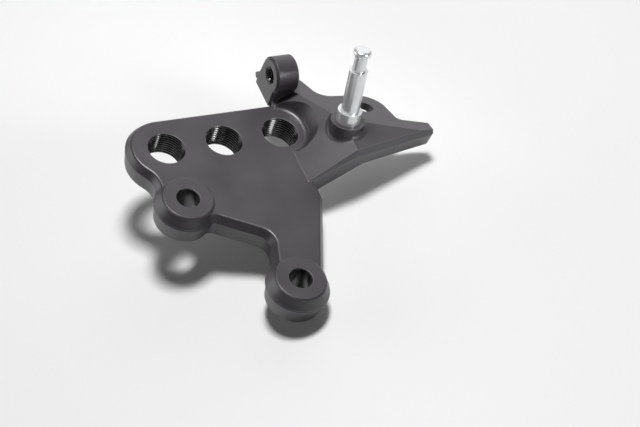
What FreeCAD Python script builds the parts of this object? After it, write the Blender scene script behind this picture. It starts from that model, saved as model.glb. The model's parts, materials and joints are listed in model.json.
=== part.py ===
"""Forged footrest bracket with a pressed-in spring post, as a parametric document.

Millimetres. The origin is on the axis of the upper frame bolt, at the underside of its boss.
X runs along the row of threaded footrest holes and Z is the axis of both frame bolts.
"""
import FreeCAD
import Part

import math
import os

import Sketcher
from FreeCAD import Placement, Rotation, Vector

doc = FreeCAD.newDocument("footrest_bracket")
sheet = doc.addObject("Spreadsheet::Sheet", "sizes")

SIZES = {
    # Plate, forged about a parting plane below its top face
    "plate_bottom": 1.25,
    "plate_thickness": 13.75,
    "parting_depth": 4.0,
    "upper_draft": 30.0,
    "lower_draft": 9.0,
    "end_radius": 19.4,
    "plate_right_x": 68.0,
    "plate_corner_y": -9.0,
    "plate_corner_radius": 6.0,
    "rim_round": 1.5,
    "foot_chamfer": 0.8,
    # Row of threaded footrest holes, M20 x 1.5 at its minor diameter
    "row_x": 1.0,
    "row_y": 32.0,
    "row_pitch": 30.0,
    "row_hole_radius": 9.188,
    "row_chamfer": 0.2,
    # Frame bolt bosses
    "boss_height": 16.5,
    "boss_flank_radius": 15.2,
    "boss_top_radius": 12.4,
    "boss_root_radius": 15.6,
    "boss_root_z": 10.0,
    "boss_chamfer": 0.5,
    "boss_foot_radius": 13.6,
    "boss_foot_root": 14.0,
    "boss_foot_height": 5.0,
    "lower_boss_x": 36.0,
    "lower_boss_y": -55.0,
    "bolt_hole_radius": 5.5,
    "bolt_chamfer": 0.4,
    # Web and leg between the bosses
    "neck_radius": 10.0,
    "crotch_x": 32.6,
    "crotch_y": -27.1,
    "crotch_radius": 7.0,
    "web_angle": -32.1,
    "leg_inner_angle": -106.9,
    "leg_outer_angle": 67.7,
    "boss_fillet": 4.0,
    "leg_fillet": 6.0,
    # Arm, raised by a ramp to a second level
    "ramp_x": 63.0,
    "ramp_rise": 14.0,
    "ramp_angle": 30.0,
    "arm_root_x": 58.0,
    "arm_front_y": -2.25,
    "arm_front_angle": 8.9,
    "arm_draft": 6.0,
    "arm_thickness": 11.8,
    "bevel_width": 1.5,
    "bevel_depth": 4.0,
    "tip_bevel_width": 2.0,
    "tip_bevel_depth": 9.0,
    "tip_x": 134.6,
    "tip_radius": 3.0,
    "finger_y": 21.0,
    "finger_angle": -17.0,
    "finger_fillet": 4.0,
    "ear_x": 106.0,
    "ear_y": 33.5,
    "ear_radius": 12.0,
    "ear_hole_radius": 4.5,
    "back_fillet": 8.0,
    "root_right_x": 86.5,
    "root_lean": 10.0,
    "root_back_y": 70.5,
    "root_corner": 5.0,
    "root_left_x": 63.0,
    "root_left_corner": 1.5,
    "root_under_y": 52.0,
    "root_under_z": 12.1,
    "root_under_slope": 45.0,
    "root_under_roll": 6.4,
    "root_under_front": 7.0,
    # Sloping back facet of the arm
    "facet_x": 98.0,
    "facet_y": 20.1,
    "facet_turn": -20.4,
    "facet_slope": 19.5,
    # Clearance pocket round the third footrest hole
    "pocket_radius": 14.0,
    "pocket_reach": 2.5,
    "pocket_draft": 22.0,
    "pocket_fillet": 3.0,
    "pocket_height": 30.0,
    # Lug for the stop screw, M10 at its minor diameter
    "lug_y": 58.8,
    "lug_z": 26.7,
    "lug_radius": 9.3,
    "lug_length": 12.0,
    "lug_web_y": 51.0,
    "lug_back_y": 69.3,
    "lug_back_z": 17.0,
    "lug_rim": 1.2,
    "nub_y": 69.6,
    "nub_z": 15.3,
    "nub_radius": 1.8,
    "nub_setback": 0.4,
    "nub_length": 4.0,
    "lug_hole_radius": 4.188,
    "lug_chamfer": 0.6,
    # Post and its boss
    "post_x": 88.4,
    "post_y": 20.5,
    "post_z": 32.0,
    "post_lean": 12.5,
    "post_boss_top": 8.4,
    "post_boss_base": 8.8,
    "post_boss_fillet": 2.5,
    "post_boss_depth": 13.0,
    "post_collar_radius": 6.0,
    "post_collar_height": 6.0,
    "post_shaft_radius": 4.5,
    "post_shaft_length": 23.4,
    "post_neck_radius": 3.25,
    "post_neck_length": 8.3,
    "post_head_height": 3.6,
    "post_shank_radius": 4.0,
    "post_shank_length": 11.0,
}

for row, (alias, value) in enumerate(SIZES.items(), start=1):
    sheet.set(f"A{row}", alias)
    sheet.set(f"B{row}", str(value))
    sheet.setAlias(f"B{row}", alias)
doc.recompute()

# How far a cutting tool overruns what it cuts, and a slab what it is trimmed by
OVERRUN = 1
MARGIN = 50
# A block larger than the arm, for trimming it on one side of a plane
TRIM_LENGTH, TRIM_WIDTH, TRIM_HEIGHT = 200, 120, 60
# How near to a level an edge lies on it, and how near to a surface a point is on it
NEAR = 0.1
TOUCHING = 0.01


def size(alias):
    """The value of one cell, for placing sketch geometry before its constraints hold it."""
    return float(sheet.get(alias))


def bind(thing, **expressions):
    """Binds properties to the sheet; a double underscore stands for a dot."""
    for name, expression in expressions.items():
        thing.setExpression(name.replace("__", "."), expression)
    return thing


PLATE_TOP = "(sizes.plate_bottom + sizes.plate_thickness)"
DECK_TOP = "(sizes.plate_bottom + sizes.plate_thickness + sizes.ramp_rise)"
FRONT_AT_DECK = ("sizes.arm_front_y + tan(sizes.arm_front_angle)"
                 " * (sizes.ramp_x + sizes.ramp_rise / tan(sizes.ramp_angle) - sizes.arm_root_x)")


def heading(degrees):
    return Vector(math.cos(math.radians(degrees)), math.sin(math.radians(degrees)))


def right_of(direction):
    """The unit vector on the right hand of a heading: outside of an outline drawn counterclockwise."""
    return Vector(direction.y, -direction.x)


def meet(point_a, along_a, point_b, along_b):
    """Where two lines cross."""
    cross = along_a.x * along_b.y - along_a.y * along_b.x
    gap = point_b - point_a
    return point_a + along_a * ((gap.x * along_b.y - gap.y * along_b.x) / cross)


def meet_circle(point, along, centre, radius, forward):
    """Where a line crosses a circle: the later crossing along its heading, or the earlier one."""
    nearest = point + along * (centre - point).dot(along)
    half_chord = math.sqrt(radius**2 - (nearest - centre).Length**2)
    return nearest + along * (half_chord if forward else -half_chord)


def circles_meet(centre_a, radius_a, centre_b, radius_b):
    """The crossing of two circles on the right hand of the way from the first centre to the second."""
    between = centre_b - centre_a
    gap = between.Length
    reach = (radius_a**2 - radius_b**2 + gap**2) / (2 * gap)
    along = between / gap
    return centre_a + along * reach + right_of(along) * math.sqrt(radius_a**2 - reach**2)


def toward(start, target, length):
    return start + (target - start).normalize() * length


class Outline:
    """A closed sketch drawn piece by piece, each piece joined to the one before it."""

    def __init__(self, name, placement=None, body=None):
        add = body.newObject if body else doc.addObject
        self.sketch = add("Sketcher::SketchObject", name)
        if placement:
            self.sketch.setExpression("Placement", placement)
        self.ends = []

    def line(self, start, end, smooth=True):
        index = self.sketch.addGeometry(Part.LineSegment(start, end), False)
        return self.join(index, 1, 2, smooth)

    def arc(self, centre, start, end, turn=1, smooth=True):
        """An arc from start to end, counterclockwise for a turn of 1 and clockwise for -1."""
        first, last = (start, end) if turn > 0 else (end, start)
        angles = [math.atan2(p.y - centre.y, p.x - centre.x) for p in (first, last)]
        if angles[1] <= angles[0]:
            angles[1] += 2 * math.pi
        circle = Part.Circle(centre, Vector(0, 0, 1), (start - centre).Length)
        index = self.sketch.addGeometry(Part.ArcOfCircle(circle, *angles), False)
        return self.join(index, *((1, 2) if turn > 0 else (2, 1)), smooth)

    def join(self, index, first, last, smooth):
        if self.ends:
            before = self.ends[-1]
            self.rule("Tangent" if smooth else "Coincident", before[0], before[2], index, first)
        self.ends.append((index, first, last))
        return index

    def close(self, smooth=False):
        start, end = self.ends[0], self.ends[-1]
        self.rule("Tangent" if smooth else "Coincident", end[0], end[2], start[0], start[1])

    def rule(self, kind, *values):
        return self.sketch.addConstraint(Sketcher.Constraint(kind, *values))

    def radius(self, index, expression):
        value = self.sketch.Geometry[index].Radius
        self.sketch.setExpression(f"Constraints[{self.rule('Radius', index, value)}]", expression)

    def place(self, index, position, across=None, up=None):
        """Holds a point of a piece (1 start, 2 end, 3 centre) at distances from the origin."""
        point = self.sketch.getPoint(index, position)
        for kind, value, expression in (("DistanceX", point.x, across), ("DistanceY", point.y, up)):
            if expression:
                number = self.rule(kind, -1, 1, index, position, value)
                self.sketch.setExpression(f"Constraints[{number}]", expression)

    def sharp_corner(self, point, line_a, line_b, across=None, up=None):
        """Holds the point where two lines would meet if their corner were not rounded."""
        mark = self.sketch.addGeometry(Part.Point(point), True)
        self.rule("PointOnObject", mark, 1, line_a)
        self.rule("PointOnObject", mark, 1, line_b)
        self.place(mark, 1, across, up)

    def angle(self, index, expression):
        line = self.sketch.Geometry[index]
        along = line.EndPoint - line.StartPoint
        number = self.rule("Angle", index, math.atan2(along.y, along.x))
        self.sketch.setExpression(f"Constraints[{number}]", expression)

    def level(self, *indices):
        for index in indices:
            self.rule("Horizontal", index)

    def upright(self, *indices):
        for index in indices:
            self.rule("Vertical", index)

    def extrude(self, name, **expressions):
        solid = doc.addObject("Part::Extrusion", name)
        solid.Base = self.sketch
        solid.DirMode = "Normal"
        solid.Solid = True
        return bind(solid, **expressions)


def at(x, y, z, turn="rotation(vector(0; 0; 1); 0)"):
    """A placement written as an expression."""
    return f"placement(vector({x}; {y}; {z}); {turn})"


POST_TURN = "rotation(vector(1; 0; 0); -sizes.post_lean)"
POST_SEAT = at("sizes.post_x", "sizes.post_y", "sizes.post_z", POST_TURN)


def cylinder(name, radius, height, placement):
    return bind(doc.addObject("Part::Cylinder", name), Radius=radius, Height=height, Placement=placement)


def cone(name, lower, upper, height, placement):
    thing = doc.addObject("Part::Cone", name)
    return bind(thing, Radius1=lower, Radius2=upper, Height=height, Placement=placement)


def joined(kind, name, things):
    """A fusion or a common of several solids."""
    result = doc.addObject(kind, name)
    result.Shapes = things
    return result


def cut(name, base, tool):
    result = doc.addObject("Part::Cut", name)
    result.Base = base
    result.Tool = tool
    return result


def rounded(name, base, radius_alias, wanted, kind="Part::Fillet"):
    """Rounds, or chamfers, the edges of a solid that pass a test."""
    doc.recompute()
    radius = size(radius_alias)
    result = doc.addObject(kind, name)
    result.Base = base
    result.Edges = [(n, radius, radius) for n, edge in enumerate(base.Shape.Edges, 1) if wanted(edge)]
    return result


def level_edge(edge):
    return edge.BoundBox.ZLength < TOUCHING


def plate():
    """Plate, web and leg: one outline at the parting plane, drafted up and down from it."""
    outline = Outline("plate_outline", at(0, 0, f"{PLATE_TOP} - sizes.parting_depth"))
    row = Vector(size("row_x"), size("row_y"))
    upper_boss = Vector(0, 0)
    lower_boss = Vector(size("lower_boss_x"), size("lower_boss_y"))
    crotch = Vector(size("crotch_x"), size("crotch_y"))
    corner = Vector(size("plate_right_x"), size("plate_corner_y"))
    end, flank = size("end_radius"), size("boss_flank_radius")
    neck, small, large = size("neck_radius"), size("boss_fillet"), size("leg_fillet")
    web, inner, outer = (heading(size(a)) for a in ("web_angle", "leg_inner_angle", "leg_outer_angle"))
    bend = size("crotch_radius")

    neck_centre = circles_meet(row, end + neck, upper_boss, flank + neck)
    web_centre = meet_circle(crotch + right_of(web) * small, web, upper_boss, flank + small, True)
    bend_centre = meet(crotch + right_of(web) * bend, web, crotch + right_of(inner) * bend, inner)
    inner_centre = meet_circle(crotch + right_of(inner) * small, inner, lower_boss, flank + small, False)
    outer_centre = meet_circle(corner + right_of(outer) * large, outer, lower_boss, flank + large, True)
    web_start, web_end = web_centre - right_of(web) * small, bend_centre - right_of(web) * bend
    leg_start, leg_end = bend_centre - right_of(inner) * bend, inner_centre - right_of(inner) * small
    outer_start = outer_centre - right_of(outer) * large
    up, turn = Vector(0, 1), size("plate_corner_radius")
    reach = turn * math.tan(math.acos(outer.dot(up)) / 2)
    corner_start, corner_end = corner - outer * reach, corner + up * reach
    back_right = Vector(corner.x, row.y + end)
    back_start, right_end = back_right - Vector(turn, 0), back_right - Vector(0, turn)

    back = outline.line(back_start, Vector(row.x, row.y + end))
    end_arc = outline.arc(row, Vector(row.x, row.y + end), toward(row, neck_centre, end))
    neck_arc = outline.arc(neck_centre, toward(row, neck_centre, end),
                           toward(upper_boss, neck_centre, flank), -1)
    upper_arc = outline.arc(upper_boss, toward(upper_boss, neck_centre, flank),
                            toward(upper_boss, web_centre, flank))
    web_arc = outline.arc(web_centre, toward(upper_boss, web_centre, flank), web_start, -1)
    web_line = outline.line(web_start, web_end)
    bend_arc = outline.arc(bend_centre, web_end, leg_start, -1)
    inner_line = outline.line(leg_start, leg_end)
    inner_arc = outline.arc(inner_centre, leg_end, toward(lower_boss, inner_centre, flank), -1)
    lower_arc = outline.arc(lower_boss, toward(lower_boss, inner_centre, flank),
                            toward(lower_boss, outer_centre, flank))
    outer_arc = outline.arc(outer_centre, toward(lower_boss, outer_centre, flank), outer_start, -1)
    outer_line = outline.line(outer_start, corner_start)
    corner_arc = outline.arc(corner_end - right_of(up) * turn, corner_start, corner_end)
    right = outline.line(corner_end, right_end)
    hidden_arc = outline.arc(back_right - Vector(turn, turn), right_end, back_start)
    outline.close(smooth=True)

    outline.level(back)
    outline.upright(right)
    outline.place(end_arc, 3, "sizes.row_x", "sizes.row_y")
    outline.rule("Coincident", upper_arc, 3, -1, 1)
    outline.place(lower_arc, 3, "sizes.lower_boss_x", "sizes.lower_boss_y")
    outline.angle(web_line, "sizes.web_angle")
    outline.angle(inner_line, "sizes.leg_inner_angle")
    outline.angle(outer_line, "sizes.leg_outer_angle")
    outline.sharp_corner(crotch, web_line, inner_line, "sizes.crotch_x", "sizes.crotch_y")
    outline.sharp_corner(corner, outer_line, right, "sizes.plate_right_x", "sizes.plate_corner_y")
    for index, alias in ((end_arc, "end_radius"), (neck_arc, "neck_radius"),
                         (upper_arc, "boss_flank_radius"), (web_arc, "boss_fillet"),
                         (bend_arc, "crotch_radius"), (inner_arc, "boss_fillet"),
                         (lower_arc, "boss_flank_radius"), (outer_arc, "leg_fillet"),
                         (corner_arc, "plate_corner_radius"), (hidden_arc, "plate_corner_radius")):
        outline.radius(index, f"sizes.{alias}")
    blank = outline.extrude("plate_blank", LengthFwd="sizes.parting_depth", TaperAngle="-sizes.upper_draft",
                            LengthRev="sizes.plate_thickness - sizes.parting_depth",
                            TaperAngleRev="-sizes.lower_draft")
    top = size("plate_bottom") + size("plate_thickness")
    rim = rounded("plate_rim", blank, "rim_round", lambda e: level_edge(e) and e.CenterOfMass.z > top - NEAR)
    return rounded("plate", rim, "foot_chamfer",
                   lambda e: level_edge(e) and e.CenterOfMass.z < size("plate_bottom") + NEAR, "Part::Chamfer")


def trim_block(name, plane, front=-TRIM_WIDTH / 2, low=0):
    """A block that stands on a placed plane, or hangs from it, to take away all on that side."""
    block = doc.addObject("Part::Box", name)
    return bind(block, Length=str(TRIM_LENGTH), Width=str(TRIM_WIDTH), Height=str(TRIM_HEIGHT),
                Placement=f"{plane} * {at(-TRIM_LENGTH / 2, front, low)}")


def arm():
    """Raised arm: its plan outline and its side profile in common, less the sloping back facet."""
    plan = Outline("arm_plan", at(0, 0, f"{DECK_TOP} - sizes.bevel_depth"))
    start = Vector(size("arm_root_x"), size("arm_front_y"))
    front = heading(size("arm_front_angle"))
    finger = heading(180 + size("finger_angle"))
    ear = Vector(size("ear_x"), size("ear_y"))
    ear_radius, tip_radius = size("ear_radius"), size("tip_radius")
    inside = Vector(ear.x + ear_radius, size("finger_y"))
    up, across = Vector(0, 1), Vector(-1, 0)
    lean = heading(90 + size("root_lean"))
    tip = Vector(size("tip_x"), 0)
    notch = Vector(size("root_right_x"), ear.y + ear_radius)
    back_corner = meet(notch, lean, Vector(0, size("root_back_y")), across)
    left_corner = Vector(size("root_left_x"), size("root_back_y"))
    corners = [
        (meet(start, front, tip, up), front, up, tip_radius, 1),
        (meet(tip, up, inside, finger), up, finger, tip_radius, 1),
        (inside, finger, up, size("finger_fillet"), -1),
        (Vector(inside.x, notch.y), up, across, ear_radius, 1),
        (notch, across, lean, size("back_fillet"), -1),
        (back_corner, lean, across, size("root_corner"), 1),
        (left_corner, across, -up, size("root_left_corner"), 1),
    ]
    lines, arcs, pen = [], [], start
    for corner, before, after, radius, turn in corners:
        reach = radius * math.tan(math.acos(before.dot(after)) / 2)
        leave, enter = corner - before * reach, corner + after * reach
        lines.append(plan.line(pen, leave))
        arcs.append(plan.arc(leave - right_of(before) * radius * turn, leave, enter, turn))
        pen = enter
    middle = Vector(size("root_left_x"), size("row_y"))
    lines.append(plan.line(pen, middle))
    lines.append(plan.line(middle, Vector(start.x, middle.y), smooth=False))
    lines.append(plan.line(Vector(start.x, middle.y), start, smooth=False))
    plan.close()
    plan.level(lines[4], lines[6], lines[8])
    plan.upright(lines[1], lines[3], lines[7], lines[9])
    plan.angle(lines[0], "sizes.arm_front_angle")
    plan.angle(lines[2], "180 + sizes.finger_angle")
    plan.angle(lines[5], "90 + sizes.root_lean")
    plan.place(lines[0], 1, "sizes.arm_root_x", "sizes.arm_front_y")
    plan.place(lines[1], 1, across="sizes.tip_x")
    plan.place(arcs[3], 3, "sizes.ear_x", "sizes.ear_y")
    plan.place(lines[6], 2, up="sizes.root_back_y")
    plan.place(lines[7], 2, "sizes.root_left_x", "sizes.row_y")
    plan.sharp_corner(notch, lines[4], lines[5], across="sizes.root_right_x")
    plan.sharp_corner(inside, lines[2], lines[3], up="sizes.finger_y")
    for number, alias in enumerate(("tip_radius", "tip_radius", "finger_fillet", "ear_radius",
                                    "back_fillet", "root_corner", "root_left_corner")):
        plan.radius(arcs[number], f"sizes.{alias}")
    walls = plan.extrude("arm_walls", LengthFwd=f"sizes.bevel_depth + {OVERRUN}",
                         LengthRev="sizes.ramp_rise + sizes.plate_thickness",
                         TaperAngleRev="-sizes.arm_draft")

    side = Outline("arm_side", at(0, 0, 0, "rotation(vector(1; 0; 0); 90)"))
    low, thick, rise = size("plate_bottom"), size("plate_thickness"), size("ramp_rise")
    climb = math.tan(math.radians(size("ramp_angle")))
    run, under = rise / climb, low + thick + rise - size("arm_thickness")
    shift = thick * math.tan(math.radians(size("ramp_angle") / 2))
    left, right = size("arm_root_x") - MARGIN, size("tip_x") + MARGIN
    bend = size("ramp_x")
    profile = [Vector(left, low + thick), Vector(left, low), Vector(bend + shift, low),
               Vector(bend + shift + (under - low) / climb, under), Vector(right, under),
               Vector(right, low + thick + rise), Vector(bend + run, low + thick + rise),
               Vector(bend, low + thick)]
    edges = [side.line(a, b, smooth=False) for a, b in zip(profile, profile[1:] + profile[:1])]
    side.close()
    side.upright(edges[0], edges[4])
    side.level(edges[1], edges[3], edges[5], edges[7])
    side.angle(edges[6], "180 + sizes.ramp_angle")
    side.rule("Parallel", edges[2], edges[6])
    side.place(edges[0], 1, f"sizes.arm_root_x - {MARGIN}", PLATE_TOP)
    side.place(edges[1], 1, up="sizes.plate_bottom")
    side.place(edges[1], 2, "sizes.ramp_x + sizes.plate_thickness * tan(sizes.ramp_angle * 0.5)")
    side.place(edges[3], 1, up=f"{DECK_TOP} - sizes.arm_thickness")
    side.place(edges[4], 2, f"sizes.tip_x + {MARGIN}", DECK_TOP)
    side.place(edges[7], 1, across="sizes.ramp_x")
    slab = side.extrude("arm_slab", LengthFwd=str(MARGIN), LengthRev=f"sizes.root_back_y + {MARGIN}")

    facet = at("sizes.facet_x", "sizes.facet_y", DECK_TOP, "rotation(sizes.facet_turn; 0; -sizes.facet_slope)")
    slope = at("sizes.root_left_x", "sizes.root_under_y", "sizes.root_under_z",
               "rotation(0; sizes.root_under_slope; sizes.root_under_roll)")
    trims = [trim_block("above_facet", facet),
             trim_block("under_root", slope, "-sizes.root_under_front", -TRIM_HEIGHT)]
    edge_climb = "atan(tan(sizes.ramp_angle) * cos(sizes.arm_front_angle))"
    ramp_top = "sizes.ramp_x + sizes.ramp_rise / tan(sizes.ramp_angle)"
    for name, x, y, yaw, pitch, bevel in (
            ("deck_bevel", "sizes.arm_root_x", "sizes.arm_front_y", "sizes.arm_front_angle", "0deg", "bevel"),
            ("ramp_bevel", ramp_top, FRONT_AT_DECK, "sizes.arm_front_angle", edge_climb, "bevel"),
            ("tip_bevel", "sizes.tip_x", "0", "90", "0deg", "tip_bevel")):
        roll = f"atan(sizes.{bevel}_depth * cos({pitch}) / sizes.{bevel}_width)"
        edge = at(x, y, f"{DECK_TOP} - sizes.{bevel}_depth",
                  f"rotation({yaw} * 1deg; -({pitch}); {roll})")
        trims.append(trim_block(name, edge))
    blank = joined("Part::MultiCommon", "arm_blank", [walls, slab])
    trimmed = cut("arm_trimmed", blank, joined("Part::MultiFuse", "arm_trims", trims))
    boss = cone("post_boss", "sizes.post_boss_base", "sizes.post_boss_top", "sizes.post_boss_depth",
                f"{POST_SEAT} * {at(0, 0, '-sizes.post_boss_depth', 'rotation(vector(0; 0; 1); 180)')}")
    bossed = joined("Part::MultiFuse", "arm_bossed", [trimmed, boss])
    doc.recompute()
    cone_face = boss.Shape.Faces[0]

    def at_boss_foot(edge):
        """The edges where the boss meets the ramp, the deck and the back facet."""
        on_cone = all(cone_face.distToShape(Part.Vertex(p))[0] < TOUCHING for p in edge.discretize(5))
        return on_cone and not isinstance(edge.Curve, Part.Line) and edge.CenterOfMass.z < size("post_z") - NEAR

    return rounded("arm", bossed, "post_boss_fillet", at_boss_foot)


def lug():
    """Lug for the stop screw: a round head on a web, its flat face square to X."""
    outline = Outline("lug_outline", at("sizes.root_left_x", 0, 0, "rotation(vector(1; 1; 1); 120)"))
    head = Vector(size("lug_y"), size("lug_z"))
    radius = size("lug_radius")
    web, back, shoulder = size("lug_web_y"), size("lug_back_y"), size("lug_back_z")
    low = size("root_under_z")
    foot_start = Vector(web, head.y - math.sqrt(radius**2 - (head.x - web)**2))
    post = Vector(back, shoulder)
    gap = (post - head).Length
    spread = math.acos(radius / gap)
    aim = math.atan2(post.y - head.y, post.x - head.x) + spread
    touch = head + Vector(math.cos(aim), math.sin(aim)) * radius
    round_head = outline.arc(head, touch, foot_start)
    web_line = outline.line(foot_start, Vector(web, low), smooth=False)
    foot = outline.line(Vector(web, low), Vector(back, low), smooth=False)
    rear = outline.line(Vector(back, low), post, smooth=False)
    outline.line(post, touch, smooth=False)
    outline.close(smooth=True)
    outline.upright(web_line, rear)
    outline.level(foot)
    outline.place(round_head, 3, "sizes.lug_y", "sizes.lug_z")
    outline.radius(round_head, "sizes.lug_radius")
    outline.place(foot, 1, "sizes.lug_web_y", "sizes.root_under_z")
    outline.place(rear, 2, "sizes.lug_back_y", "sizes.lug_back_z")
    blank = outline.extrude("lug_blank", LengthFwd="sizes.lug_length")
    face, end = size("root_left_x"), size("root_left_x") + size("lug_length")

    def on_rim(edge, x):
        flat = edge.BoundBox.XLength < TOUCHING and abs(edge.CenterOfMass.x - x) < NEAR
        return flat and edge.BoundBox.ZMax > low + NEAR

    front = rounded("lug_front", blank, "lug_rim", lambda e: on_rim(e, face), "Part::Chamfer")
    head = rounded("lug_head", front, "lug_chamfer", lambda e: on_rim(e, end), "Part::Chamfer")
    nub = cylinder("lug_nub", "sizes.nub_radius", "sizes.nub_length",
                   at("sizes.root_left_x + sizes.nub_setback", "sizes.nub_y", "sizes.nub_z",
                      "rotation(vector(0; 1; 0); 90)"))
    return joined("Part::MultiFuse", "lug", [head, nub])


def bosses():
    """Faced ends of the two frame bolt bosses, above and below the plate."""
    pads = []
    for name, x, y in (("upper", "0", "0"), ("lower", "sizes.lower_boss_x", "sizes.lower_boss_y")):
        foot = cone(f"{name}_boss_foot", "sizes.boss_foot_radius", "sizes.boss_foot_root",
                    "sizes.boss_foot_height", at(x, y, 0))
        crown = cone(f"{name}_boss_crown", "sizes.boss_root_radius", "sizes.boss_top_radius",
                     "sizes.boss_height - sizes.boss_root_z", at(x, y, "sizes.boss_root_z"))
        faced = size("boss_height") - NEAR
        pads.append(rounded(f"{name}_foot", foot, "foot_chamfer",
                            lambda e: level_edge(e) and e.CenterOfMass.z < NEAR, "Part::Chamfer"))
        pads.append(rounded(f"{name}_crown", crown, "boss_chamfer",
                            lambda e: level_edge(e) and e.CenterOfMass.z > faced, "Part::Chamfer"))
    return pads


def drill(name, radius, chamfer, depth, placement, both_ends=True):
    """A drill with a 45 degree chamfer at its far mouth, or at both; the placement is its first mouth."""
    far = f"{placement} * {at(0, 0, f'({depth}) - ({chamfer})')}"
    start = f"{placement} * {at(0, 0, -OVERRUN)}"
    cutters = [cylinder(f"{name}_drill", radius, f"({depth}) + {2 * OVERRUN}", start),
               cone(f"{name}_far_mouth", radius, f"{radius} + {chamfer}", chamfer, far)]
    if both_ends:
        cutters.append(cone(f"{name}_mouth", f"{radius} + {chamfer}", radius, chamfer, placement))
    return cutters


def pocket_tools():
    """Two overlapping cones for the clearance pocket, the second one reaching further back."""
    cutters = []
    floor = size("plate_bottom") + size("plate_thickness") + NEAR
    for name, y in (("pocket", "sizes.row_y"), ("pocket_back", "sizes.row_y + sizes.pocket_reach")):
        blank = cone(f"{name}_blank", "sizes.pocket_radius",
                     "sizes.pocket_radius + sizes.pocket_height * tan(sizes.pocket_draft)",
                     "sizes.pocket_height", at("sizes.row_x + 2 * sizes.row_pitch", y, PLATE_TOP))
        cutters.append(rounded(name, blank, "pocket_fillet",
                               lambda e: level_edge(e) and e.CenterOfMass.z < floor))
    return cutters


def drills():
    """Every hole that is drilled in the forging."""
    cutters = []
    for number in range(3):
        centre = at(f"sizes.row_x + {number} * sizes.row_pitch", "sizes.row_y", "sizes.plate_bottom")
        cutters += drill(f"row_hole_{number + 1}", "sizes.row_hole_radius", "sizes.row_chamfer",
                         "sizes.plate_thickness", centre)
    for name, x, y in (("upper", "0", "0"), ("lower", "sizes.lower_boss_x", "sizes.lower_boss_y")):
        cutters += drill(f"{name}_bolt_hole", "sizes.bolt_hole_radius", "sizes.bolt_chamfer",
                         "sizes.boss_height", at(x, y, 0), both_ends=False)
    lug_face = at("sizes.root_left_x", "sizes.lug_y", "sizes.lug_z", "rotation(vector(0; 1; 0); 90)")
    cutters += drill("lug_hole", "sizes.lug_hole_radius", "sizes.lug_chamfer", "sizes.lug_length", lug_face)
    cutters.append(cylinder("ear_hole", "sizes.ear_hole_radius", "sizes.ramp_rise + sizes.plate_thickness",
                            at("sizes.ear_x", "sizes.ear_y", "sizes.plate_bottom")))
    cutters.append(cylinder("post_bore", "sizes.post_shank_radius", f"sizes.post_shank_length + {OVERRUN}",
                            f"{POST_SEAT} * {at(0, 0, '-sizes.post_shank_length')}"))
    return cutters


def bracket_body():
    """The forging, with the pocket made before the lug so that the lug's head stays whole."""
    blank = joined("Part::MultiFuse", "forging_blank", [plate(), arm(), *bosses()])
    pocketed = cut("pocketed", blank, joined("Part::MultiFuse", "pocket_cutters", pocket_tools()))
    forging = joined("Part::MultiFuse", "forging", [pocketed, lug()])
    body = cut("bracket_body", forging, joined("Part::MultiFuse", "cutters", drills()))
    body.Label = "bracket_body"
    return body


def spring_post():
    """Turned post: a pressed shank, a collar, a plain shaft, a neck for the spring and a rounded head."""
    body = doc.addObject("PartDesign::Body", "spring_post")
    profile = Outline("post_profile", body=body)
    plane = next(p for p in body.Origin.OriginFeatures if p.Role == "XZ_Plane")
    profile.sketch.AttachmentSupport = [(plane, "")]
    profile.sketch.MapMode = "FlatFace"
    shank, collar, shaft, neck = (size(f"post_{a}_radius") for a in ("shank", "collar", "shaft", "neck"))
    levels = [-size("post_shank_length"), 0.0, size("post_collar_height")]
    for alias in ("post_shaft_length", "post_neck_length", "post_head_height"):
        levels.append(levels[-1] + size(alias))
    bottom, seat, collar_top, shoulder, head_low, head_top = levels
    bulge = (head_top - head_low) / 2
    steps = [Vector(0, bottom), Vector(shank, bottom), Vector(shank, seat), Vector(collar, seat),
             Vector(collar, collar_top), Vector(shaft, collar_top), Vector(shaft, shoulder),
             Vector(neck, shoulder), Vector(neck, head_low), Vector(shaft - bulge, head_low)]
    lines = [profile.line(a, b, smooth=False) for a, b in zip(steps, steps[1:])]
    middle = Vector(shaft - bulge, head_low + bulge)
    rim = profile.arc(middle, steps[-1], Vector(shaft - bulge, head_top))
    crown = profile.line(Vector(shaft - bulge, head_top), Vector(0, head_top))
    axis = profile.line(Vector(0, head_top), steps[0], smooth=False)
    profile.close()
    profile.level(*lines[0::2], crown)
    profile.upright(*lines[1::2], axis)
    above_seat = "sizes.post_collar_height"
    profile.place(lines[0], 1, "0", "-sizes.post_shank_length")
    profile.place(lines[0], 2, across="sizes.post_shank_radius")
    profile.place(lines[2], 1, up="0")
    profile.place(lines[2], 2, across="sizes.post_collar_radius")
    profile.place(lines[4], 1, up=above_seat)
    profile.place(lines[4], 2, across="sizes.post_shaft_radius")
    above_seat += " + sizes.post_shaft_length"
    profile.place(lines[6], 1, up=above_seat)
    profile.place(lines[6], 2, across="sizes.post_neck_radius")
    above_seat += " + sizes.post_neck_length"
    profile.place(lines[8], 1, up=above_seat)
    profile.place(rim, 3, across="sizes.post_shaft_radius - sizes.post_head_height * 0.5")
    profile.radius(rim, "sizes.post_head_height * 0.5")
    doc.recompute()
    turned = body.newObject("PartDesign::Revolution", "post_turned")
    turned.Profile = profile.sketch
    turned.ReferenceAxis = (profile.sketch, ["V_Axis"])
    turned.Angle = 360
    body.Label = "spring_post"
    return bind(body, Placement=POST_SEAT)


nodes = [bracket_body(), spring_post()]
doc.recompute()

failed = [thing.Name for thing in doc.Objects if {"Invalid", "Error"} & set(thing.State)]
if failed:
    raise RuntimeError(f"objects that did not build: {failed}")
for node in nodes:
    if node.Shape.isNull() or not node.Shape.isValid() or len(node.Shape.Solids) != 1:
        raise RuntimeError(f"{node.Label} is not one valid solid")

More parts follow.
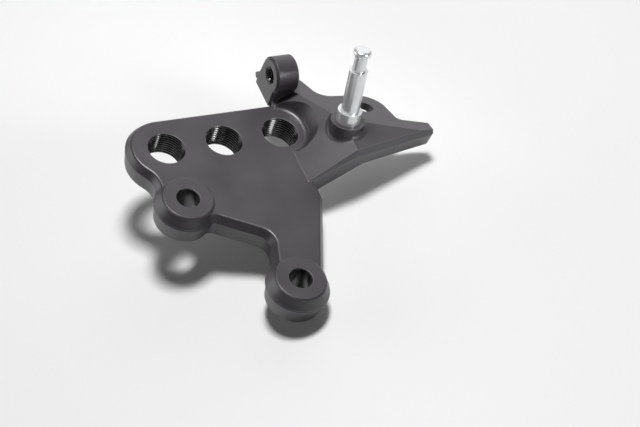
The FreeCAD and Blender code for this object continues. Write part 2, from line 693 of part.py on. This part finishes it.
os.makedirs("parts", exist_ok=True)
for node in nodes:
    node.Shape.exportStep(f"parts/{node.Label}.step")
    box = node.Shape.BoundBox
    print(f"{node.Label}: {node.Shape.Volume / 1000:.1f} cm3, "
          f"{box.XLength:.1f} x {box.YLength:.1f} x {box.ZLength:.1f} mm")
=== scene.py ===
# %% [markdown]
# # A forged footrest bracket, dressed for a studio picture
#
# The bracket itself, a black coated forging with a bright post pressed into it, arrives as finished solids.
# This lesson adds what solids leave out: the screw threads inside the holes, the finishes, and a table, lamps and
# a camera like those of the picture that it was measured from.

import json
import math

import bpy
import numpy as np
from mathutils import Matrix, Vector


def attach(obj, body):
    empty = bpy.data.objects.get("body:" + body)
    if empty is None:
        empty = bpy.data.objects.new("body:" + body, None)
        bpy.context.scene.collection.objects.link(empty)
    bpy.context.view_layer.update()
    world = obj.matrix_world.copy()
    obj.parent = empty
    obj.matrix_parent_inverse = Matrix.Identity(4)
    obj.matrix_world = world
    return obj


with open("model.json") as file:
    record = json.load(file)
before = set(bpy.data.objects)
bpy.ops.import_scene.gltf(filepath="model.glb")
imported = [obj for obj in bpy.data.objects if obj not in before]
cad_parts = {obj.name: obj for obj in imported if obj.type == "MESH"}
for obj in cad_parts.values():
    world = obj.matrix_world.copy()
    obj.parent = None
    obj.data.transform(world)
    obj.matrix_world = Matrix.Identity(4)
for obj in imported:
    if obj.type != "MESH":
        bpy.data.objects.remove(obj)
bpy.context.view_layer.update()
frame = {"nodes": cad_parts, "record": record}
mounts = {mount["name"]: mount for mount in frame["record"]["mounts"]}
MM = 0.001

# %% [markdown]
# ## Threads
#
# On the real bracket a tap has cut a helical groove into each threaded hole, and the ridges catch the light as a
# stack of fine bright lines. They could be painted on as bump, but then the silhouette of the wall would stay
# straight. Here each thread is a surface worked out on a grid: one parameter runs round the hole, the other along
# its axis, and the radius rises and falls with the phase of the helix.

# %% A helical thread as one array of points


def thread_points(wall_radius, ridge, pitch, length, around=96, per_turn=10, steep=1.35, cut=0.15, run_out=0.5):
    """Ridged lining of a hole, in its own frame with the axis along z from 0 to length.

    The radius is the wall radius less ridge times a crest. The crest is a triangle wave of the phase
    z / pitch - angle / turn, made steeper and then cut flat at its top and foot, and it fades to nothing over the
    run-out, in pitches, at both mouths.
    """
    along = int(round(length / pitch * per_turn)) + 1
    angle = np.linspace(0, 2 * np.pi, around, endpoint=False)
    z = np.linspace(0, length, along)
    turn, height = np.meshgrid(angle, z)
    phase = (height / pitch - turn / (2 * np.pi)) % 1.0
    wave = 1 - np.abs(2 * phase - 1)
    crest = np.clip(steep * wave - cut, 0, 1)
    fade = np.clip(np.minimum(height, length - height) / (run_out * pitch), 0, 1)
    radius = wall_radius - ridge * crest * fade
    return np.stack([radius * np.cos(turn), radius * np.sin(turn), height], axis=-1)


def closed_band(inner, outer_radius):
    """Points and faces of a closed ring: the inner grid, joined at both mouths to an outer wall of one radius."""
    around = inner.shape[1]
    angle = np.arctan2(inner[0, :, 1], inner[0, :, 0])
    rim = np.stack([outer_radius * np.cos(angle), outer_radius * np.sin(angle)], axis=-1)
    low = np.concatenate([rim, np.full((around, 1), inner[0, 0, 2])], axis=1)
    high = np.concatenate([rim, np.full((around, 1), inner[-1, 0, 2])], axis=1)
    rows = np.concatenate([inner, high[None], low[None]])
    below = np.arange(rows.shape[0] * around).reshape(rows.shape[0], around)
    above = np.roll(below, -1, axis=0)
    quads = np.stack([below, above, np.roll(above, -1, axis=1), np.roll(below, -1, axis=1)], axis=-1)
    return rows.reshape(-1, 3), quads.reshape(-1, 4)


def surface_piece(name, points, quads):
    """A mesh object at the origin from whole arrays of points and four-sided faces, shaded smooth."""
    mesh = bpy.data.meshes.new(name)
    mesh.vertices.add(len(points))
    mesh.vertices.foreach_set("co", points.astype(np.float32).ravel())
    mesh.loops.add(quads.size)
    mesh.loops.foreach_set("vertex_index", quads.astype(np.int32).ravel())
    mesh.polygons.add(len(quads))
    mesh.polygons.foreach_set("loop_start", np.arange(0, quads.size, 4, dtype=np.int32))
    mesh.polygons.foreach_set("use_smooth", np.ones(len(quads), dtype=bool))
    mesh.update(calc_edges=True)
    mesh.validate()
    piece = bpy.data.objects.new(name, mesh)
    bpy.context.scene.collection.objects.link(piece)
    return piece


# %% [markdown]
# The record keeps where each threaded hole is, how wide its wall is and which way its axis points, so the threads
# take their places from there and need no measuring. One pitch serves all four: it makes a fine thread in the wide
# footrest holes and an ordinary one in the lug. Each lining reaches a little into the wall, so that no slit shows.

# %% Line every threaded hole
PITCH = 1.5 * MM
RIDGE = 0.55 * MM
SUNK = 0.05 * MM

threads = []
for name, mount in mounts.items():
    if mount["kind"] != "threaded_hole":
        continue
    wall, length = mount["dims"]["r_mm"] * MM, mount["dims"]["length_mm"] * MM
    points, quads = closed_band(thread_points(wall, RIDGE, PITCH, length), wall + SUNK)
    turn = Vector((0, 0, 1)).rotation_difference(Vector(mount["axis"])).to_matrix()
    points = (points - [0, 0, length / 2]) @ np.array(turn).T
    piece = surface_piece("thread_" + name, points + np.array(mount["pos_m"]), quads)
    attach(piece, "root")
    threads.append(piece)
    print(piece.name, "faces", len(quads))

# %% [markdown]
# ## Finishes
#
# Every finish is a small tree of nodes. Written out in full, such trees are long and all alike, so four helpers hold
# what repeats: feeding a socket, mapping a value to another range, mixing two things, and making a bump.

# %% Helpers for node trees


def feed(tree, source, socket):
    """Puts a value into a socket: a link where it comes from another socket, else a constant."""
    if isinstance(source, bpy.types.NodeSocket):
        tree.links.new(source, socket)
    else:
        socket.default_value = source


def remap(tree, value, old, new, soft=False):
    """Maps a value from the range old to the range new, evenly or with a soft start and end."""
    node = tree.nodes.new("ShaderNodeMapRange")
    if soft:
        node.interpolation_type = "SMOOTHSTEP"
    feed(tree, value, node.inputs["Value"])
    for name, number in zip(("From Min", "From Max", "To Min", "To Max"), (*old, *new)):
        feed(tree, number, node.inputs[name])
    return node.outputs["Result"]


def mix(tree, kind, factor, first, second):
    """The first value or colour at factor 0, the second at factor 1."""
    node = tree.nodes.new("ShaderNodeMix")
    node.data_type = kind
    for name, source in (("Factor", factor), ("A", first), ("B", second)):
        feed(tree, source, node.inputs[name])
    return node.outputs["Result"]


def bump(tree, height, strength, distance, base=None):
    """A normal tilted by a height, on top of another normal where one is given."""
    node = tree.nodes.new("ShaderNodeBump")
    for name, source in (("Height", height), ("Strength", strength), ("Distance", distance)):
        feed(tree, source, node.inputs[name])
    if base is not None:
        feed(tree, base, node.inputs["Normal"])
    return node.outputs["Normal"]


def dress(piece, material):
    """Gives a piece one finish and no other."""
    piece.data.materials.clear()
    piece.data.materials.append(material)
    print(material.name, "on", piece.name)


# %% [markdown]
# The forging has a thin satin coat over a skin that the die left slightly uneven. A flat grey would look like
# plastic, so one node group makes the unevenness: a slow mottling for tone and a fine grain for the bump. All
# finishes use it, with their own values.

# %% A shared group for uneven skin
MOTTLE_DETAIL, GRAIN_DETAIL = 3.0, 4.0


def skin_group():
    """Slow mottling and fine grain from two noises on the coordinates that are given."""
    group = bpy.data.node_groups.new("uneven_skin", "ShaderNodeTree")
    for name, kind in (("Vector", "NodeSocketVector"), ("Slow scale", "NodeSocketFloat"),
                       ("Fine scale", "NodeSocketFloat")):
        group.interface.new_socket(name, in_out="INPUT", socket_type=kind)
    for name in ("Mottle", "Grain"):
        group.interface.new_socket(name, in_out="OUTPUT", socket_type="NodeSocketFloat")
    inlet, outlet = group.nodes.new("NodeGroupInput"), group.nodes.new("NodeGroupOutput")
    for scale, out, detail in (("Slow scale", "Mottle", MOTTLE_DETAIL), ("Fine scale", "Grain", GRAIN_DETAIL)):
        noise = group.nodes.new("ShaderNodeTexNoise")
        feed(group, detail, noise.inputs["Detail"])
        feed(group, inlet.outputs["Vector"], noise.inputs["Vector"])
        feed(group, inlet.outputs[scale], noise.inputs["Scale"])
        feed(group, noise.outputs["Fac"], outlet.inputs[out])
    return group


uneven_skin = skin_group()
print("group", uneven_skin.name)

# %% [markdown]
# The two bolt holes are drilled and reamed, so their walls are smoother than the forged skin and catch a bright
# crescent. A second small group tells whether a place lies within a radius of a hole's axis, and the coat is made
# smoother there. A separate material would need faces of its own, and the solid's mesh stays as it is.

# %% A shared group for the inside of a drilled hole
ACROSS_AXIS = (1, 1, 0)


def bore_group():
    """1 inside a cylinder along z round a centre, 0 outside: the length of (place - centre) across z < radius."""
    group = bpy.data.node_groups.new("inside_bore", "ShaderNodeTree")
    for name, kind in (("Vector", "NodeSocketVector"), ("Centre", "NodeSocketVector"),
                       ("Radius", "NodeSocketFloat")):
        group.interface.new_socket(name, in_out="INPUT", socket_type=kind)
    group.interface.new_socket("Mask", in_out="OUTPUT", socket_type="NodeSocketFloat")
    inlet, outlet = group.nodes.new("NodeGroupInput"), group.nodes.new("NodeGroupOutput")
    offset, across, reach = [group.nodes.new("ShaderNodeVectorMath") for _ in range(3)]
    offset.operation, across.operation, reach.operation = "SUBTRACT", "MULTIPLY", "LENGTH"
    within = group.nodes.new("ShaderNodeMath")
    within.operation = "LESS_THAN"
    feed(group, inlet.outputs["Vector"], offset.inputs[0])
    feed(group, inlet.outputs["Centre"], offset.inputs[1])
    feed(group, offset.outputs["Vector"], across.inputs[0])
    feed(group, ACROSS_AXIS, across.inputs[1])
    feed(group, across.outputs["Vector"], reach.inputs[0])
    feed(group, reach.outputs["Value"], within.inputs[0])
    feed(group, inlet.outputs["Radius"], within.inputs[1])
    feed(group, within.outputs["Value"], outlet.inputs["Mask"])
    return group


inside_bore = bore_group()
print("group", inside_bore.name)

# %% [markdown]
# Each finish starts from the same three nodes: its shader, the Object coordinates and the skin group. Noise keeps
# mostly to the middle of its range, so tone and smoothness are spread over that middle only.

# %% The start of a finish
NOISE_MIDDLE = (0.3, 0.7)


def start_material(name, slow, fine):
    """A material with its tree, its shader, the mottling and grain on it, and its Object coordinates."""
    material = bpy.data.materials.new(name)
    material.use_nodes = True
    tree = material.node_tree
    place = tree.nodes.new("ShaderNodeTexCoord").outputs["Object"]
    skin = tree.nodes.new("ShaderNodeGroup")
    skin.node_tree = uneven_skin
    for socket, source in (("Vector", place), ("Slow scale", slow), ("Fine scale", fine)):
        feed(tree, source, skin.inputs[socket])
    shader = tree.nodes["Principled BSDF"]
    return material, tree, shader, skin.outputs["Mottle"], skin.outputs["Grain"], place


def two_tone(tree, mottle, dark, light):
    """A colour that follows the mottling from a dark tone to a light one."""
    return mix(tree, "RGBA", remap(tree, mottle, NOISE_MIDDLE, (0, 1)), (*dark, 1), (*light, 1))


# %% [markdown]
# ### The black coat
#
# Tone and smoothness of the coat follow the mottling, and the smooth bores are laid over that one by one.

# %% The coat: smoothness
COAT_DARK, COAT_LIGHT = (0.041, 0.036, 0.042), (0.049, 0.044, 0.050)
COAT_ROUGHNESS = (0.34, 0.42)
COAT_IOR = 1.7
BORE_ROUGHNESS, BORE_MARGIN = 0.16, 0.3 * MM

coat, tree, shader, mottle, grain, place = start_material("black_satin_coat", slow=60, fine=1500)
roughness = remap(tree, mottle, NOISE_MIDDLE, COAT_ROUGHNESS)
for name, mount in mounts.items():
    if mount["kind"] == "bore" and name.endswith("frame_bolt"):
        bore = tree.nodes.new("ShaderNodeGroup")
        bore.node_tree = inside_bore
        feed(tree, place, bore.inputs["Vector"])
        feed(tree, mount["pos_m"], bore.inputs["Centre"])
        feed(tree, mount["dims"]["r_mm"] * MM + BORE_MARGIN, bore.inputs["Radius"])
        roughness = mix(tree, "FLOAT", bore.outputs["Mask"], roughness, BORE_ROUGHNESS)
        print("smooth bore:", name)
feed(tree, roughness, shader.inputs["Roughness"])
feed(tree, COAT_IOR, shader.inputs["IOR"])

# %% [markdown]
# Forged edges are never quite sharp, and along them a paler tone is painted in as a highlight: the thin bright line
# that a rounded edge catches. Cutting bevels into the mesh would change the solid, so the softness is in the normal
# alone. The same node finds the edges for the
# painted highlight: the softened normal and the true one differ only close to an edge.

# %% The coat: soft edges, a painted edge highlight, and grain
EDGE_SOFTNESS, EDGE_SAMPLES = 0.4 * MM, 6
EDGE_HIGHLIGHT_TONE = (0.2, 0.197, 0.203)
EDGE_AGREEMENT = (0.99, 0.9)
GRAIN_STRENGTH, GRAIN_DEPTH = 0.35, 0.12 * MM

soft_edge = tree.nodes.new("ShaderNodeBevel")
soft_edge.samples = EDGE_SAMPLES
feed(tree, EDGE_SOFTNESS, soft_edge.inputs["Radius"])
agree = tree.nodes.new("ShaderNodeVectorMath")
agree.operation = "DOT_PRODUCT"
feed(tree, soft_edge.outputs["Normal"], agree.inputs[0])
feed(tree, tree.nodes.new("ShaderNodeNewGeometry").outputs["Normal"], agree.inputs[1])
# painted highlight: a paler tone is mixed into the coat wherever the softened and true normals part, along every edge
painted_edge_highlight = remap(tree, agree.outputs["Value"], EDGE_AGREEMENT, (0, 1))
tone = two_tone(tree, mottle, COAT_DARK, COAT_LIGHT)
feed(tree, mix(tree, "RGBA", painted_edge_highlight, tone, (*EDGE_HIGHLIGHT_TONE, 1)), shader.inputs["Base Color"])
feed(tree, bump(tree, grain, GRAIN_STRENGTH, GRAIN_DEPTH, soft_edge.outputs["Normal"]), shader.inputs["Normal"])

bracket = frame["nodes"]["bracket_body"]
dress(bracket, coat)

# %% [markdown]
# ### Bare threads
#
# A tap cuts through the coat and leaves the ridges bare and shiny. A separate dark, glossy material keeps the walls
# black where they face nothing bright and lets each ridge flash where it faces a light.

# %% The thread finish
TAPPED_DARK, TAPPED_LIGHT = (0.014, 0.014, 0.015), (0.02, 0.02, 0.021)
TAPPED_ROUGHNESS, TAPPED_IOR = 0.14, 2.5

tapped, tree, shader, mottle, grain, place = start_material("tapped_wall", slow=150, fine=1500)
feed(tree, two_tone(tree, mottle, TAPPED_DARK, TAPPED_LIGHT), shader.inputs["Base Color"])
feed(tree, TAPPED_ROUGHNESS, shader.inputs["Roughness"])
feed(tree, TAPPED_IOR, shader.inputs["IOR"])
for piece in threads:
    dress(piece, tapped)

# %% [markdown]
# ### The plated post
#
# The post is turned from steel and zinc plated: bright, but softer than chrome, with faint rings left by the tool.
# Full metal would mirror only the black bracket below it, so the shader is partly metal. The rings follow the
# post's own axis, so the coordinates are first turned upright by its lean.

# %% Bright plate with turning rings
PLATE_DARK, PLATE_LIGHT = (0.79, 0.8, 0.81), (0.85, 0.86, 0.87)
PLATE_METAL = 0.6
PLATE_ROUGHNESS = (0.22, 0.28)
RING_SCALE, RING_WAVER = 900, 1.5
RING_STRENGTH, RING_DEPTH = 0.05, 0.05 * MM

post_axis = mounts["spring_seat"]["axis"]
lean = math.atan2(post_axis[1], post_axis[2])
plate, tree, shader, mottle, grain, place = start_material("bright_zinc_plate", slow=220, fine=2500)
feed(tree, two_tone(tree, mottle, PLATE_DARK, PLATE_LIGHT), shader.inputs["Base Color"])
feed(tree, PLATE_METAL, shader.inputs["Metallic"])
feed(tree, remap(tree, mottle, NOISE_MIDDLE, PLATE_ROUGHNESS), shader.inputs["Roughness"])
upright = tree.nodes.new("ShaderNodeMapping")
feed(tree, place, upright.inputs["Vector"])
feed(tree, (lean, 0, 0), upright.inputs["Rotation"])
rings = tree.nodes.new("ShaderNodeTexWave")
rings.bands_direction = "Z"
feed(tree, upright.outputs["Vector"], rings.inputs["Vector"])
feed(tree, RING_SCALE, rings.inputs["Scale"])
feed(tree, RING_WAVER, rings.inputs["Distortion"])
feed(tree, bump(tree, rings.outputs["Fac"], RING_STRENGTH, RING_DEPTH), shader.inputs["Normal"])

dress(frame["nodes"]["spring_post"], plate)

# %% [markdown]
# ## Table, lamps and camera
#
# The bracket lies tipped on a white table, with the lower boss nearest to it. In the bracket's own frame the table
# is therefore a tilted plane. It is laid a little below the lowest point of the bracket along its own upward
# direction; the shadows of the picture, and the spot of light that falls through the upper bolt hole, gave the tilt
# and the gap. A backdrop picture would be simpler, but it could not take the shadow.

# %% The table
TABLE_UP = Vector((-0.255, 0.170, 0.952)).normalized()
TABLE_GAP = 3 * MM
TABLE_HALF = 1.5

middle = Vector((0.05, 0.0, 0.0))
corners = np.empty(len(bracket.data.vertices) * 3, dtype=np.float32)
bracket.data.vertices.foreach_get("co", corners)
table_level = float((corners.reshape(-1, 3) @ np.array(TABLE_UP)).min()) - TABLE_GAP
foot = middle - TABLE_UP * (middle.dot(TABLE_UP) - table_level)
flat = TABLE_UP.orthogonal().normalized()
side = TABLE_UP.cross(flat)
table_points = np.array([foot + flat * (TABLE_HALF * a) + side * (TABLE_HALF * b)
                         for a, b in ((-1, -1), (1, -1), (1, 1), (-1, 1))])
table = surface_piece("table", table_points, np.array([[0, 1, 2, 3]]))
print("table level", table_level)

# %% [markdown]
# The table is plain white with a slight sheen. From below it is clear, so that the underside of the bracket can be
# looked at too.

# %% White from above, clear from below
TABLE_WHITE = (0.9, 0.9, 0.9, 1)
TABLE_ROUGHNESS = 0.45

white = bpy.data.materials.new("white_table")
white.use_nodes = True
tree = white.node_tree
sheen = tree.nodes["Principled BSDF"]
feed(tree, TABLE_WHITE, sheen.inputs["Base Color"])
feed(tree, TABLE_ROUGHNESS, sheen.inputs["Roughness"])
clear = tree.nodes.new("ShaderNodeBsdfTransparent")
one_sided = tree.nodes.new("ShaderNodeMixShader")
feed(tree, tree.nodes.new("ShaderNodeNewGeometry").outputs["Backfacing"], one_sided.inputs["Fac"])
feed(tree, sheen.outputs["BSDF"], one_sided.inputs[1])
feed(tree, clear.outputs["BSDF"], one_sided.inputs[2])
feed(tree, one_sided.outputs["Shader"], tree.nodes["Material Output"].inputs["Surface"])
dress(table, white)

# %% [markdown]
# A satin black coat shows little but what it mirrors, so the room matters as much as the lamps. The room is dim, with
# two soft patches: a bright wall behind and another low on the left. They could be lamps, but each lamp would add a
# shadow.

# %% The room: dim, with two soft patches
ROOM_LIGHT = 0.012
PATCHES = (
    # direction, cosine at the edge, cosine at the core, strength
    ((0.5, 0.8, 0.3), 0.74, 0.99, 0.95),
    ((-0.84, 0.5, -0.2), 0.82, 0.96, 1.7),
)
PLAIN_WHITE = (1, 1, 1, 1)

world = bpy.data.worlds.new("studio")
bpy.context.scene.world = world
world.use_nodes = True
tree = world.node_tree
direction = tree.nodes.new("ShaderNodeTexCoord").outputs["Generated"]


def patch(toward, edge, core, strength):
    """Strength of a soft round patch of light: full inside its core, nothing outside its edge."""
    along = tree.nodes.new("ShaderNodeVectorMath")
    along.operation = "DOT_PRODUCT"
    feed(tree, direction, along.inputs[0])
    feed(tree, Vector(toward).normalized(), along.inputs[1])
    return remap(tree, along.outputs["Value"], (edge, core), (0, strength), soft=True)


total = ROOM_LIGHT
for spot in PATCHES:
    adder = tree.nodes.new("ShaderNodeMath")
    adder.operation = "ADD"
    feed(tree, patch(*spot), adder.inputs[0])
    feed(tree, total, adder.inputs[1])
    total = adder.outputs["Value"]
room = tree.nodes["Background"]
feed(tree, PLAIN_WHITE, room.inputs["Color"])
feed(tree, total, room.inputs["Strength"])
print("room light", ROOM_LIGHT, "and", len(PATCHES), "patches")

# %% [markdown]
# Only where the camera itself looks past the table is the world plain white. That adds no light to the bracket.

# %% A white backdrop for the camera alone
backdrop = tree.nodes.new("ShaderNodeBackground")
feed(tree, PLAIN_WHITE, backdrop.inputs["Color"])
choose = tree.nodes.new("ShaderNodeMixShader")
feed(tree, tree.nodes.new("ShaderNodeLightPath").outputs["Is Camera Ray"], choose.inputs["Fac"])
feed(tree, room.outputs["Background"], choose.inputs[1])
feed(tree, backdrop.outputs["Background"], choose.inputs[2])
feed(tree, choose.outputs["Shader"], tree.nodes["World Output"].inputs["Surface"])
print("world", world.name)

# %% [markdown]
# One softbox stands high and a little behind. It makes the one clear shadow of the picture, and it is small enough
# for the light through the bolt hole to stay a spot. Its power is set so that the table is just short of white. A
# second, weak one with a narrow beam faces only the lug's head, whose front the first cannot reach; a wide one there
# would fill the shadow.

# %% Two softboxes
KEY = {"toward": (-0.152, 0.258, 0.954), "distance": 1.2, "size": 0.27, "power": 12.8}
LUG_PANEL = {"toward": (0.39, -0.66, 0.64), "distance": 0.22, "size": 0.13, "power": 0.018, "spread": 30}


def softbox(name, aim, toward, distance, size, power, spread=180):
    """A square lamp at a distance from what it faces, with its beam held to a spread in degrees."""
    data = bpy.data.lights.new(name, "AREA")
    data.shape = "SQUARE"
    data.size = size
    data.energy = power
    data.spread = math.radians(spread)
    lamp = bpy.data.objects.new(name, data)
    away = Vector(toward).normalized()
    lamp.location = aim + away * distance
    lamp.rotation_euler = away.to_track_quat("Z", "Y").to_euler()
    lamp.visible_camera = False
    bpy.context.scene.collection.objects.link(lamp)
    print(name, power, "W at", [round(c, 3) for c in lamp.location])


softbox("back_key", middle, **KEY)
softbox("lug_panel", Vector(mounts["stop_screw_hole"]["pos_m"]), **LUG_PANEL)

# %% [markdown]
# The camera stands where the ellipses of the drilled holes in the picture put it, with a long lens.

# %% The camera
CAMERA_PLACE = Vector((-0.348142, -0.514433, 0.716039))
CAMERA_RIGHT = Vector((0.89092, -0.37598, 0.25474))
CAMERA_UP = Vector((0.14472, 0.76672, 0.62546))
SENSOR_MM, LENS_MM = 36.0, 112.5

lens = bpy.data.cameras.new("camera")
lens.sensor_width = SENSOR_MM
lens.lens = LENS_MM
camera = bpy.data.objects.new("camera", lens)
axes = Matrix((CAMERA_RIGHT, CAMERA_UP, CAMERA_RIGHT.cross(CAMERA_UP))).transposed()
camera.matrix_world = Matrix.Translation(CAMERA_PLACE) @ axes.to_4x4()
bpy.context.scene.collection.objects.link(camera)
bpy.context.scene.camera = camera
bpy.context.scene.view_settings.view_transform = "Standard"
print("camera at", [round(c, 3) for c in camera.location], "lens", lens.lens)
